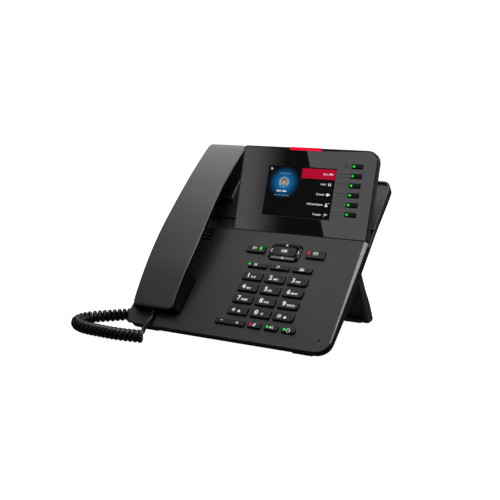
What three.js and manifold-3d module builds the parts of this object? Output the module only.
// A desk telephone: sloping key deck, tilting display, folding stand leg, lift-off handset, curly cord.
// Millimetres. +X is the user's right, +Y the back, +Z up. The origin is on the desk, under the middle
// of the body. Inside the deck group, x runs right, y up the slope and z out of the key surface; its
// origin is the lower left corner of the key field.
import * as THREE from 'three';
import { mergeVertices } from 'three/addons/utils/BufferGeometryUtils.js';
import Module from 'manifold-3d';

const wasm = await Module();
wasm.setup();

// ---- driving dimensions -------------------------------------------------------------------------
const radians = THREE.MathUtils.degToRad;
const deckTilt = radians(41.87);          // key surface above the desk
const displayTilt = radians(28.36);       // display face above the key surface
const legTilt = radians(31.8);            // stand leg from the vertical
const deckOrigin = [-3.5, -34.1, 52.4];   // key field corner above the desk
const gap = 0.3;                          // between pieces that touch

const slab = { left: -107, right: 114, front: -68.4, rear: 141.5, frontRadius: 14, rearRadius: 8 };
const seam = 59.3;                        // rear edge of the key surface, in front of the display
const rearPlateTop = -7;
const splitFront = -5.8;                  // lower edge of the cover's skirt
const splitRear = -9.1;
const wall = 2.2;
const keyPitch = [24.3, -13.56];
const keySize = [20.7, 9.0];
const keyTop = 2.0;
const keyBottom = -2.6;
const holeMargin = 0.4;

const handsetX = -76.3;                   // middle of the handset
const handsetEnds = [-52.5, 162.4];
const handsetWall = 1.8;
const rimHeight = 3.8;                    // the handset's back shell, from its top to the joint line
const mouthDepth = 1.2;                   // how far the mouth end sits below the key surface

const display = { left: -33.1, topLeft: -36.2, right: 113.3, height: 89.4, side: 7, bulge: 10.5 };
const glass = { left: -3.7, right: 70.8, low: 17.3, high: 69.1 };
const hinge = { v: 4.5, w: -4.5, lugs: [-16, 96], lugWidth: 8, lugRadius: 2.6, rodRadius: 1.2 };
const fasciaThickness = 1.4;
const lineKeys = { x: 92.3, first: 72.6, pitch: -9.7, count: 6, size: [11.4, 4.2] };
const lamp = { left: 16, right: 51, low: 87.0, high: 89.8 };

const legAxis = [42, -17];                // in the deck group's y and z
const leg = { left: -99, right: 106, lugs: [-76, 83], lugWidth: 8, lugRadius: 3, rodRadius: 1.5 };

const cordRadius = 2.15;
const coilRadius = 6.4;

// ---- materials ----------------------------------------------------------------------------------
function finish(color, roughness, metalness = 0) {
  return new THREE.MeshStandardMaterial({ color, roughness, metalness });
}
const charcoal = finish(0x3c3d3f, 0.6);
const handsetGrey = finish(0x46474a, 0.55);
const black = finish(0x141415, 0.5);
const keyBlack = finish(0x262728, 0.5);
const gloss = finish(0x0c0c0e, 0.08);
const rubber = finish(0x1a1a1a, 0.9);
const green = finish(0x1f5a3a, 0.5);
const silicone = finish(0x303134, 0.8);
const steel = finish(0xb4b7ba, 0.3, 1);
const screen = finish(0x3f7ea6, 0.1);
const lampRed = finish(0xc01030, 0.3);
const jackGrey = finish(0x2b2d30, 0.5);

// ---- solids -------------------------------------------------------------------------------------
function solid(geometry) {
  geometry.deleteAttribute('normal');
  geometry.deleteAttribute('uv');
  const merged = mergeVertices(geometry, 1e-4);
  const corners = Array.from(merged.index.array);
  const triangles = [];
  for (let i = 0; i < corners.length; i += 3) {
    const [a, b, c] = corners.slice(i, i + 3);
    if (a !== b && b !== c && c !== a) {
      triangles.push(a, b, c);
    }
  }
  return new wasm.Manifold(new wasm.Mesh({
    numProp: 3,
    vertProperties: new Float32Array(merged.attributes.position.array),
    triVerts: new Uint32Array(triangles),
  }));
}

function geometryOf(manifold) {
  const mesh = manifold.getMesh();
  const geometry = new THREE.BufferGeometry();
  geometry.setAttribute('position', new THREE.BufferAttribute(mesh.vertProperties, 3));
  geometry.setIndex(new THREE.BufferAttribute(mesh.triVerts, 1));
  geometry.computeVertexNormals();
  return geometry;
}

// A convex outline with a radius at each corner: [x, y, radius], anticlockwise.
function rounded(corners) {
  const shape = new THREE.Shape();
  corners.forEach(([x, y, radius], i) => {
    const corner = new THREE.Vector2(x, y);
    const before = new THREE.Vector2(...corners.at(i - 1)).sub(corner).normalize();
    const after = new THREE.Vector2(...corners[(i + 1) % corners.length]).sub(corner).normalize();
    const half = Math.acos(before.dot(after)) / 2;
    const centre = before.clone().add(after).normalize();
    centre.multiplyScalar(radius / Math.sin(half)).add(corner);
    const reach = radius / Math.tan(half);
    const start = before.clone().multiplyScalar(reach).add(corner);
    const end = after.clone().multiplyScalar(reach).add(corner);
    shape[i === 0 ? 'moveTo' : 'lineTo'](start.x, start.y);
    if (radius > 0) {
      const from = Math.atan2(start.y - centre.y, start.x - centre.x);
      const to = Math.atan2(end.y - centre.y, end.x - centre.x);
      shape.absarc(centre.x, centre.y, radius, from, to, false);
    }
  });
  return shape;
}

function rectangle(x0, x1, y0, y1, radius = 0) {
  return rounded([[x0, y0, radius], [x1, y0, radius], [x1, y1, radius], [x0, y1, radius]]);
}

function plate(shape, z0, z1, curveSegments = 4) {
  const geometry = new THREE.ExtrudeGeometry(shape, { depth: z1 - z0, bevelEnabled: false, curveSegments });
  return geometry.translate(0, 0, z0);
}

function block(x0, x1, y0, y1, z0, z1) {
  const geometry = new THREE.BoxGeometry(x1 - x0, y1 - y0, z1 - z0);
  return geometry.translate((x0 + x1) / 2, (y0 + y1) / 2, (z0 + z1) / 2);
}

// A side profile of [y, z] points, carried across from x0 to x1.
function across(points, x0, x1) {
  const shape = new THREE.Shape(points.map(([y, z]) => new THREE.Vector2(y, z)));
  const geometry = new THREE.ExtrudeGeometry(shape, { depth: x1 - x0, bevelEnabled: false });
  const turn = new THREE.Matrix4().makeBasis(
    new THREE.Vector3(0, 1, 0), new THREE.Vector3(0, 0, 1), new THREE.Vector3(1, 0, 0));
  return geometry.applyMatrix4(turn).translate(x0, 0, 0);
}

function rod(radius, x0, x1, y, z, sides = 16) {
  const geometry = new THREE.CylinderGeometry(radius, radius, x1 - x0, sides);
  return geometry.rotateZ(Math.PI / 2).translate((x0 + x1) / 2, y, z);
}

function arc(y, z, radius, from, to, steps) {
  return Array.from({ length: steps + 1 }, (_, i) => {
    const angle = radians(from + (to - from) * i / steps);
    return [y + radius * Math.cos(angle), z + radius * Math.sin(angle)];
  });
}

// Rings of [x, z] points, anticlockwise seen along +Y, joined from one y station to the next.
function loft(stations) {
  const count = stations[0].ring.length;
  const positions = stations.flatMap(({ y, ring }) => ring.flatMap(([x, z]) => [x, y, z]));
  const index = [];
  for (let i = 0; i + 1 < stations.length; i += 1) {
    for (let j = 0; j < count; j += 1) {
      const a = i * count + j;
      const b = i * count + (j + 1) % count;
      index.push(a, b + count, b, a, a + count, b + count);
    }
  }
  const last = (stations.length - 1) * count;
  const flat = (ring) => ring.map(([x, z]) => new THREE.Vector2(x, z));
  const cap = (ring) => THREE.ShapeUtils.triangulateShape(flat(ring), []);
  cap(stations[0].ring).forEach(([a, b, c]) => index.push(a, b, c));
  cap(stations.at(-1).ring).forEach(([a, b, c]) => index.push(last + a, last + c, last + b));
  const geometry = new THREE.BufferGeometry();
  geometry.setAttribute('position', new THREE.Float32BufferAttribute(positions, 3));
  geometry.setIndex(index);
  return geometry;
}

// A smooth curve through [at, value] points.
function smooth(points, at) {
  const last = points.length - 1;
  const next = points.findIndex(([x]) => x > at);
  const i = next < 0 ? last - 1 : Math.max(0, next - 1);
  const slope = (k) => {
    const a = points[Math.max(0, k - 1)];
    const b = points[Math.min(last, k + 1)];
    return (b[1] - a[1]) / (b[0] - a[0]);
  };
  const [x0, y0] = points[i];
  const [x1, y1] = points[i + 1];
  const span = x1 - x0;
  const t = THREE.MathUtils.clamp((at - x0) / span, 0, 1);
  const s = 1 - t;
  const bend = span * s * t * (slope(i) * s - slope(i + 1) * t);
  return y0 * s * s * (1 + 2 * t) + y1 * t * t * (1 + 2 * s) + bend;
}

// ---- groups -------------------------------------------------------------------------------------
const phone = new THREE.Group();
const desk = new THREE.Group();           // upright, with the deck's origin as its own
desk.position.set(...deckOrigin);
const deck = new THREE.Group();
deck.rotation.x = deckTilt;
const screenHead = new THREE.Group();     // x right, y up the display face, z out of it
screenHead.position.y = 59.8;
screenHead.rotation.x = displayTilt;
const stand = new THREE.Group();          // z up the leg, y to its rear face, x axis on the hinge
stand.position.set(0, ...legAxis);
stand.rotation.x = legTilt - deckTilt;
phone.add(desk);
desk.add(deck);
deck.add(screenHead, stand);

function add(group, name, shape, material) {
  const geometry = shape.isBufferGeometry ? shape : geometryOf(shape);
  const mesh = new THREE.Mesh(geometry, material);
  mesh.name = name;
  group.add(mesh);
}

// An upright block in the deck's axes, from the deck's origin, with heights above the desk.
function uprightBlock(x0, x1, y0, y1, z0, z1) {
  return block(x0, x1, y0, y1, z0 - deckOrigin[2], z1 - deckOrigin[2]).rotateX(-deckTilt);
}

// ---- keys on the deck ---------------------------------------------------------------------------
// Each is [name, left, right, low, high, corner radius].
const digits = ['1', '2', '3', '4', '5', '6', '7', '8', '9', 'star', '0', 'hash'];
const dialKeys = digits.map((digit, i) => {
  const x = 1.2 + keyPitch[0] * (i % 3);
  const y = -1.3 + keyPitch[1] * Math.floor(i / 3);
  return [`key_${digit}`, x, x + keySize[0], y, y + keySize[1], 1.2];
});
const functionKeys = ['hold', 'transfer', 'conference'].map((name, i) => {
  const x = 1.2 + keyPitch[0] * i;
  return [`key_${name}`, x, x + keySize[0], 14.2, 19.5, 1.0];
});
const soundKeys = ['mute', 'speaker', 'headset'].map((name, i) => {
  const x = 27.8 + 17.7 * i;
  return [`key_${name}`, x, x + 13.4, -53.8, -48.3, 1.0];
});
const plainKeys = [
  ...dialKeys,
  ...functionKeys,
  ...soundKeys,
  ['key_menu', -7.6, 12.7, 32.1, 40.2, 1.2],
  ['key_message', 58.0, 77.2, 32.0, 40.7, 1.2],
];
const volumeKey = ['key_volume', -7.5, 24.1, -54.0, -48.3, 1.0];
const ring = { left: 18.3, right: 51.2, low: 26.0, high: 46.4, radius: 5 };
const okKey = { left: 22.0, right: 46.3, low: 31.2, high: 42.0, radius: 2.5 };

function keyCap([, x0, x1, y0, y1, radius], z0, z1) {
  const bevel = 0.5;
  const geometry = new THREE.ExtrudeGeometry(rectangle(x0, x1, y0, y1, radius), {
    depth: z1 - z0 - 2 * bevel,
    bevelThickness: bevel,
    bevelSize: bevel,
    bevelOffset: -bevel,
    bevelSegments: 1,
    curveSegments: 2,
  });
  return geometry.translate(0, 0, z0 + bevel);
}

function navigationRing() {
  const outer = keyCap(['', ring.left, ring.right, ring.low, ring.high, ring.radius], -2.2, 1.8);
  const inner = rectangle(okKey.left - 0.5, okKey.right + 0.5, okKey.low - 0.5, okKey.high + 0.5, 3);
  return solid(outer).subtract(solid(plate(inner, -4, 4)));
}

for (const key of plainKeys) {
  add(deck, key[0], keyCap(key, keyBottom, keyTop), keyBlack);
}
add(deck, 'key_volume', keyCap(volumeKey, -2.0, 1.8), keyBlack);
add(deck, 'key_ok', keyCap(['', ...Object.values(okKey)], -1.2, 1.9), gloss);
add(deck, 'nav_ring', navigationRing(), gloss);
add(deck, 'nav_pivot', plate(rectangle(20, 49.5, 33.5, 39.5), -3.1, -2.6), jackGrey);

// ---- deck cover ---------------------------------------------------------------------------------
const planOutline = () => rounded([
  [slab.left, slab.front, slab.frontRadius],
  [slab.right, slab.front, slab.frontRadius],
  [slab.right, slab.rear, slab.rearRadius],
  [slab.left, slab.rear, slab.rearRadius],
]);

function keyHoles() {
  const holes = [...plainKeys, volumeKey].map(([, x0, x1, y0, y1, radius]) => rectangle(
    x0 - holeMargin, x1 + holeMargin, y0 - holeMargin, y1 + holeMargin, radius + holeMargin));
  holes.push(rectangle(ring.left - holeMargin, ring.right + holeMargin,
    ring.low - holeMargin, ring.high + holeMargin, ring.radius));
  for (let i = 0; i < 4; i += 1) {
    const slot = 41.9 + 4.45 * i;
    holes.push(rectangle(-97, -54.3, slot, slot + 1.5, 0.6));
  }
  holes.push(rectangle(101, 103, -57, -55, 0.9));
  return holes.map((shape) => solid(plate(shape, -5, 5, 2)));
}

// The cradle under the ear end, with a hole for the hook plunger.
const cradle = { left: -98, right: -54, front: 100, rear: 136.5, top: -1.6 };
const plunger = { x: handsetX, y: 122, half: 3.5 };

function deckCover() {
  const body = across([
    [slab.front, splitFront], [seam - 4, splitFront], [seam - wall, splitRear], [slab.rear, splitRear],
    [slab.rear, rearPlateTop], [seam, rearPlateTop], [seam, 0], [slab.front, 0],
  ], slab.left, slab.right);
  let cover = solid(body).intersect(solid(plate(planOutline(), -30, 10)));
  const inside = rounded([
    [slab.left + wall, slab.front + wall, slab.frontRadius - wall],
    [slab.right - wall, slab.front + wall, slab.frontRadius - wall],
    [slab.right - wall, seam - wall, 2],
    [slab.left + wall, seam - wall, 2],
  ]);
  cover = cover.subtract(solid(plate(inside, -20, -wall)));
  cover = cover.add(solid(block(-105.5, -46.4, -67, -6.3, -3.6, -2)));
  const pocket = rounded([[-104.2, -53.2, 4], [-48.4, -53.2, 4], [-48.4, -8.5, 0.5], [-104.2, -8.5, 0.5]]);
  cover = cover.subtract(solid(plate(pocket, -1.6, 5)));
  cover = cover.add(solid(block(cradle.left, cradle.right, cradle.front, cradle.rear, -8, cradle.top)));
  const rim = solid(plate(planOutline(), -8, -5)).subtract(solid(plate(rounded([
    [slab.left + 2.4, slab.front, 2], [slab.right - 2.4, slab.front, 2],
    [slab.right - 2.4, slab.rear - 2.4, slab.rearRadius - 2.4],
    [slab.left + 2.4, slab.rear - 2.4, slab.rearRadius - 2.4],
  ]), -9, 5)));
  cover = cover.add(rim.intersect(solid(block(-200, 200, 78, 200, -8, 5))));
  for (const x of hinge.lugs) {
    cover = cover.add(solid(displayLug(x - hinge.lugWidth / 2, x + hinge.lugWidth / 2)));
  }
  const [axisY, axisZ] = displayAxis();
  cover = cover.subtract(solid(rod(hinge.rodRadius + 0.15, -30, 110, axisY, axisZ)));
  const hole = plunger.half + 0.4;
  cover = cover.subtract(solid(block(
    plunger.x - hole, plunger.x + hole, plunger.y - hole, plunger.y + hole, -12, 5)));
  return keyHoles().reduce((rest, cut) => rest.subtract(cut), cover);
}

// The display's hinge axis, in the deck's y and z.
function displayAxis() {
  const c = Math.cos(displayTilt);
  const s = Math.sin(displayTilt);
  return [screenHead.position.y + hinge.v * c - hinge.w * s, hinge.v * s + hinge.w * c];
}

function displayLug(x0, x1) {
  const [y, z] = displayAxis();
  const r = hinge.lugRadius;
  const top = arc(y, z, r, 0, 180, 10);
  return across([[y + r, rearPlateTop - 1], ...top, [y - r, rearPlateTop - 1]], x0, x1);
}

add(deck, 'deck_cover', deckCover(), charcoal);
add(deck, 'hook_plunger', block(
  plunger.x - plunger.half, plunger.x + plunger.half, plunger.y - plunger.half, plunger.y + plunger.half,
  -10.5, -1.3), black);

// ---- lower shell --------------------------------------------------------------------------------
// Jack blocks under the slab, each with its ports opening straight down.
const jackBottom = 38.4;
const jackTop = 52.4;
const jackFront = 13;
const jackRear = 27;
const jackMiddle = (jackFront + jackRear) / 2;
const handsetPort = -77.5;
const headsetPort = -64.5;
const jacks = [
  {
    name: 'handset_headset_jacks', left: -84, right: -58, depth: 9,
    ports: [handsetPort, headsetPort], size: [8.2, 6.8],
  },
  {
    name: 'network_jacks', left: -30, right: 6, depth: 11,
    ports: [-21, -3], size: [11.9, 8.2],
  },
];
const power = { left: 16, right: 28, radius: 3.2, depth: 9 };

function lowerShell() {
  const lower = splitFront - gap;
  const outside = across([
    [slab.front, -7.4], [-45, -9.4], [-5, -13.2], [85, -13.2], [120, -15.5], [slab.rear - 4, -15.5],
    [slab.rear, -12],
    [slab.rear, splitRear - gap], [seam - wall - gap, splitRear - gap],
    [seam - 4 - gap, lower], [slab.front, lower],
  ], slab.left, slab.right);
  let shell = solid(outside).intersect(solid(plate(planOutline(), -30, 10)));
  const hollow = across([
    [slab.front + wall, -6.4], [-45, -7.4], [-5, -11.2], [85, -11.2], [slab.rear - wall, -12],
    [slab.rear - wall, 0], [slab.front + wall, 0],
  ], slab.left + wall, slab.right - wall);
  const inside = rounded([
    [slab.left + wall, slab.front + wall, slab.frontRadius - wall],
    [slab.right - wall, slab.front + wall, slab.frontRadius - wall],
    [slab.right - wall, slab.rear - wall, slab.rearRadius - wall],
    [slab.left + wall, slab.rear - wall, slab.rearRadius - wall],
  ]);
  shell = shell.add(solid(uprightBlock(-87, 32, jackFront - 2.6, jackRear + 2.6, 38, 58)));
  shell = shell.subtract(solid(hollow).intersect(solid(plate(inside, -30, 10))));
  for (const jack of [...jacks, power]) {
    shell = shell.subtract(solid(uprightBlock(
      jack.left - gap, jack.right + gap, jackFront - gap, jackRear + gap, 30, 64)));
  }
  for (const x of leg.lugs) {
    const [y, z] = legAxis;
    const lug = across([[y - leg.lugRadius, -13], ...arc(y, z, leg.lugRadius, 180, 360, 10),
      [y + leg.lugRadius, -13]], x - leg.lugWidth / 2, x + leg.lugWidth / 2);
    shell = shell.add(solid(lug));
  }
  return shell.subtract(solid(rod(leg.rodRadius + 0.15, leg.left, leg.right, ...legAxis)));
}
add(deck, 'lower_shell', lowerShell(), black);

for (const { name, left, right, ports, size, depth } of jacks) {
  let body = solid(uprightBlock(left, right, jackFront, jackRear, jackBottom, jackTop));
  for (const x of ports) {
    body = body.subtract(solid(uprightBlock(
      x - size[0] / 2, x + size[0] / 2, jackMiddle - size[1] / 2, jackMiddle + size[1] / 2,
      30, jackBottom + depth)));
  }
  add(deck, name, body, jackGrey);
}
const powerHole = new THREE.CylinderGeometry(power.radius, power.radius, 20, 16).rotateX(Math.PI / 2)
  .translate((power.left + power.right) / 2, jackMiddle, jackBottom + power.depth - 10 - deckOrigin[2])
  .rotateX(-deckTilt);
add(deck, 'power_jack', solid(uprightBlock(power.left, power.right, jackFront, jackRear, jackBottom, 51))
  .subtract(solid(powerHole)), jackGrey);

// ---- inside the slab ----------------------------------------------------------------------------
add(deck, 'keypad_mat', plate(rectangle(-12, 108, -60, 50, 3), -4.7, -3.9), silicone);
add(deck, 'main_board', plate(rectangle(-42, 110, -61, 56, 3), -6.4, -5.0), green);

function loudspeaker() {
  const profile = [[0, -9.2], [9, -9.2], [10, -5.4], [20, -4.4], [20, -2.6], [0, -2.6]];
  const geometry = new THREE.LatheGeometry(profile.map(([r, z]) => new THREE.Vector2(r, z)), 24);
  return geometry.rotateX(Math.PI / 2).translate(-76, 36, 0);
}
add(deck, 'loudspeaker', solid(loudspeaker()), black);
add(deck, 'display_hinge_rod', rod(hinge.rodRadius, -24, 104, ...displayAxis()), steel);
add(deck, 'leg_hinge_rod', rod(leg.rodRadius, leg.left + 8, leg.right - 8, ...legAxis), steel);

// ---- display ------------------------------------------------------------------------------------
const headOutline = (inset) => rounded([
  [display.left + inset, inset, 1],
  [display.right - inset, inset, 1],
  [display.right - inset, display.height - inset, 12 - inset],
  [display.topLeft + inset, display.height - inset, 3],
]);

function lineKeyHole(margin) {
  return Array.from({ length: lineKeys.count }, (_, i) => {
    const y = lineKeys.first + lineKeys.pitch * i;
    const [w, h] = lineKeys.size;
    return rectangle(lineKeys.x - w / 2 - margin, lineKeys.x + w / 2 + margin,
      y - h / 2 - margin, y + h / 2 + margin, 0.8);
  });
}
const lampCut = () => solid(block(
  lamp.left - gap, lamp.right + gap, lamp.low - gap, display.height + 5, -5.3 - gap, 5));

function fascia() {
  const cuts = [rectangle(glass.left, glass.right, glass.low, glass.high, 0.8), ...lineKeyHole(gap)];
  const panel = cuts.reduce(
    (rest, shape) => rest.subtract(solid(plate(shape, -5, 5, 2))),
    solid(plate(headOutline(0), -fasciaThickness, 0)));
  return panel.subtract(lampCut());
}

function rearCover() {
  const front = -fasciaThickness - gap;
  let cover = solid(plate(headOutline(0), -display.side, front));
  const bulge = loft([[20, 0], [24, 3.5], [70, 3.5], [78, 0]].map(([y, rise]) => {
    const back = -display.side - rise;
    return { y, ring: [[-26, -6], [-22 + rise, back], [104 - rise, back], [108, -6]] };
  }));
  cover = cover.add(solid(bulge));
  cover = cover.subtract(solid(plate(headOutline(2), -5, 5)));
  cover = cover.subtract(solid(block(-20, 102, 25, 73, -8.5, 0)));
  for (const x of hinge.lugs) {
    for (const side of [-1, 1]) {
      const middle = x + side * 7.6;
      cover = cover.add(solid(block(middle - 2.6, middle + 2.6, 1, 8.4, -6, front)));
    }
    const half = hinge.lugWidth / 2 + 0.5;
    cover = cover.subtract(solid(block(x - half, x + half, -1, 8.8, -9, 5)));
  }
  const foot = across([[-1, -3.5], [-1, -8], [5, -8], [1.2, -6.4], [0, -5]], -60, 130);
  cover = cover.subtract(solid(foot));
  cover = cover.subtract(solid(rod(hinge.rodRadius + 0.15, -25, 105, hinge.v, hinge.w)));
  return cover.subtract(lampCut());
}

add(screenHead, 'display_fascia', fascia(), gloss);
add(screenHead, 'display_rear_cover', rearCover(), charcoal);
add(screenHead, 'lcd_panel', plate(rectangle(
  glass.left + gap, glass.right - gap, glass.low + gap, glass.high - gap, 0.6), -3.6, -0.15), screen);
add(screenHead, 'display_board', plate(rectangle(-18, 84, 27, 71, 1), -5.9, -4.5), green);
add(screenHead, 'message_lamp', block(lamp.left, lamp.right, lamp.low, lamp.high, -5.3, -0.2), lampRed);
for (let i = 0; i < lineKeys.count; i += 1) {
  const y = lineKeys.first + lineKeys.pitch * i;
  const [w, h] = lineKeys.size;
  add(screenHead, `line_key_${i + 1}`, keyCap(
    ['', lineKeys.x - w / 2, lineKeys.x + w / 2, y - h / 2, y + h / 2, 0.8], -2.8, 0.8), keyBlack);
}

// ---- stand leg ----------------------------------------------------------------------------------
function standLeg() {
  const barrel = arc(0, 0, 3, 0, 75, 5);
  const side = [
    [-7.5, -73.9], [1.3, -79.4], [3.7, -79.7], [5.1, -78.7], [5.4, -71.4], [5.7, -57], [3.7, -37],
    ...barrel, [-7.5, 1.6],
  ];
  let body = solid(across(side, leg.left, leg.right));
  body = body.subtract(solid(block(leg.left + 4.5, leg.right - 4.5, -10, -4, -69, -5)));
  for (const x of leg.lugs) {
    const half = leg.lugWidth / 2 + 0.5;
    body = body.subtract(solid(block(x - half, x + half, -4.5, 8, -4.4, 8)));
  }
  return body.subtract(solid(rod(leg.rodRadius + 0.15, leg.left + 7, leg.right - 7, 0, 0)));
}
add(stand, 'stand_leg', standLeg(), charcoal);

const deskLevel = -deckOrigin[2];
for (const [name, x] of [['leg_foot_left', -90], ['leg_foot_right', 77]]) {
  add(desk, name, block(x, x + 20, 76, 83, deskLevel, deskLevel + 0.7), rubber);
}
// Wedge feet under the slab's front edge.
for (const [name, x] of [['front_foot_left', -90], ['front_foot_right', 77]]) {
  const side = [[-44.3, 0], [-36.6, 0], [-36.6, 7.8], [-44.3, 2.1]];
  add(desk, name, across(side.map(([y, z]) => [y, z + deskLevel]), x, x + 20), rubber);
}

// ---- handset ------------------------------------------------------------------------------------
const backLine = [
  [-52.5, 8.6], [-51.5, 10.2], [-43, 13], [-30, 16.0], [-10, 19.2], [15, 21.5], [45, 23.5],
  [75, 24.3], [107, 23.2], [129, 21.3], [147, 19.2], [158, 17.4], [161.5, 16.3], [162.4, 15.3],
];
const handleDepth = 12.5;
const earMiddle = 122;
const jointEnd = -46;                     // the joint line is level from here to the mouth end
const jointAt = (y) => smooth(backLine, Math.max(y, jointEnd)) - rimHeight;

function handsetSection(y, inset) {
  const [low, high] = handsetEnds;
  const top = smooth(backLine, y);
  const fromEnd = Math.max(0, Math.min(y - low, high - y));
  const corner = 5;
  const trim = fromEnd < corner ? corner - Math.sqrt(corner ** 2 - (corner - fromEnd) ** 2) : 0;
  const half = 23.1 + 2.0 * Math.exp(-(((y - 22) / 42) ** 2)) - trim;
  const mouth = 1 - THREE.MathUtils.smoothstep(y, -9, -3);
  const ear = THREE.MathUtils.smoothstep(y, 92, 110);
  const bowl = -0.9 + (y < earMiddle ? 0.029 : 0.009) * (y - earMiddle) ** 2;
  let bottom = top - handleDepth;
  if (y > 60) {
    bottom = Math.min(bottom, bowl);
  }
  if (y < 0) {
    bottom = THREE.MathUtils.lerp(bottom, -mouthDepth, 1 - THREE.MathUtils.smoothstep(y, -9.2, -6.5));
  }
  const rim = Math.min(jointAt(y), top - 1.3);
  bottom = Math.min(bottom, rim - 0.4);
  const belly = half - 8.5 + 11.7 * mouth + 7.2 * ear;
  return { top: top - inset, rim, half: half - inset, belly: belly - inset, bottom: bottom + inset };
}

function handsetRing(y, inset) {
  const { top, rim, half, belly, bottom } = handsetSection(y, inset);
  const low = Math.min(bottom + 1.2, (bottom + rim) / 2);
  const right = [[belly - 1.4, bottom], [belly, low], [half, rim], [half, top - 1.1], [half - 1.1, top]];
  const left = right.map(([x, z]) => [-x, z]).reverse();
  return [...right, ...left].map(([x, z]) => [x + handsetX, z]);
}

function handsetBody(ends, inset) {
  const marks = [
    -52.5, -51.5, -50.5, -49, -46, -40, -30, -18, -9.2, -7.8, -6.5, -3, 5, 18, 32, 48, 64, 80, 92, 99,
    104, 109, 115, 122, 130, 138, 145, 151, 156, 159, 161, 162,
  ];
  const inner = marks.filter((y) => y > ends[0] && y < ends[1]);
  return solid(loft([ends[0], ...inner, ends[1]].map((y) => ({ y, ring: handsetRing(y, inset) }))));
}

// Everything above (or below) the joint line between the two handset shells.
function handsetSide(above) {
  const marks = [
    -60, jointEnd, -40, -30, -18, -3, 18, 32, 48, 64, 80, 92, 104, 115, 130, 145, 156, 161, 175,
  ];
  const far = above ? 60 : -30;
  return solid(loft(marks.map((y) => {
    const joint = jointAt(y) + (above ? gap / 2 : -gap / 2);
    const [low, high] = above ? [joint, far] : [far, joint];
    return { y, ring: [[-140, low], [0, low], [0, high], [-140, high]] };
  })));
}

const hollowHandset = () => handsetBody(handsetEnds, 0).subtract(handsetBody([-48.5, 151], handsetWall));
const plugHeight = 3.4;
const bootRadius = 2.8;

function handsetFront() {
  const hole = new THREE.CylinderGeometry(bootRadius + gap, bootRadius + gap, 12, 12)
    .translate(handsetX, -50, plugHeight);
  return hollowHandset().intersect(handsetSide(false)).subtract(solid(hole));
}
add(deck, 'handset_back', hollowHandset().intersect(handsetSide(true)), handsetGrey);
add(deck, 'handset_front', handsetFront(), handsetGrey);

function disc(radius, x, y, z0, z1) {
  return new THREE.CylinderGeometry(radius, radius, z1 - z0, 24).rotateX(Math.PI / 2)
    .translate(x, y, (z0 + z1) / 2);
}
add(deck, 'receiver_capsule', disc(14, handsetX, 123, 8.5, 14), steel);
add(deck, 'microphone_capsule', disc(6, handsetX, -30, 1.2, 6), steel);

// ---- cord ---------------------------------------------------------------------------------------
// The plug boots, then the route from the handset to the jack, in the phone's own axes.
function handsetPlug() {
  const profile = [[0, -43.5], [2.2, -43.5], [bootRadius, -46], [bootRadius, -54], [2.2, -59], [0, -59]];
  const geometry = new THREE.LatheGeometry(profile.map(([r, y]) => new THREE.Vector2(r, y)).reverse(), 12);
  return geometry.translate(handsetX, 0, plugHeight);
}
add(deck, 'handset_plug', solid(handsetPlug()), rubber);
add(desk, 'base_plug', block(
  handsetPort - 3.8, handsetPort + 3.8, jackMiddle - 3.1, jackMiddle + 3.1,
  30 + deskLevel, 46.5 + deskLevel), jackGrey);

const coilRoute = [
  [-64.5, -118.1], [-88.5, -121.6], [-111.5, -121.6], [-130.5, -120.1], [-143.5, -115.1],
  [-152.0, -106.6], [-153.6, -96.6], [-148.8, -87.1], [-141.2, -79.1], [-131.5, -70.1],
  [-121.5, -60.6], [-111.5, -51.1], [-102.5, -42.1], [-96.5, -35.4],
].map(([x, y]) => [x, y, coilRadius + 0.05]);
const handsetLead = [
  [-79.8, -80.6, 15.1], [-79.8, -83.5, 12.6], [-79.3, -87.2, 10.6], [-78.0, -92.4, 9.2],
  [-75.8, -98.4, 8.6], [-73.0, -104.4, 8.4], [-70.4, -108.8, 8.4], [-69.2, -111.2, 8.4],
];
const baseLead = [
  [-95.9, -34.4, 6.05], [-92.6, -30.9, 4.6], [-88.6, -26.0, 3.0], [-85.2, -21.2, 3.5],
  [-82.8, -17.3, 7.2], [-81.4, -15.0, 13.5], [-81.0, -14.1, 21.0], [-81.0, -14.1, 29.7],
];

function tube(route, radius, sides, step) {
  const path = new THREE.CatmullRomCurve3(route.map((point) => new THREE.Vector3(...point)));
  const section = new THREE.Shape(arc(0, 0, radius, 0, 360 - 360 / sides, sides - 1)
    .map(([x, y]) => new THREE.Vector2(x, y)));
  const steps = Math.round(path.getLength() / step);
  return new THREE.ExtrudeGeometry(section, { steps, bevelEnabled: false, extrudePath: path });
}
add(phone, 'cord_handset_lead', tube(handsetLead, cordRadius, 8, 5), rubber);
add(phone, 'cord_coil', tube(coilRoute, coilRadius, 12, 12), rubber);
add(phone, 'cord_base_lead', tube(baseLead, cordRadius, 8, 5), rubber);

export default phone;
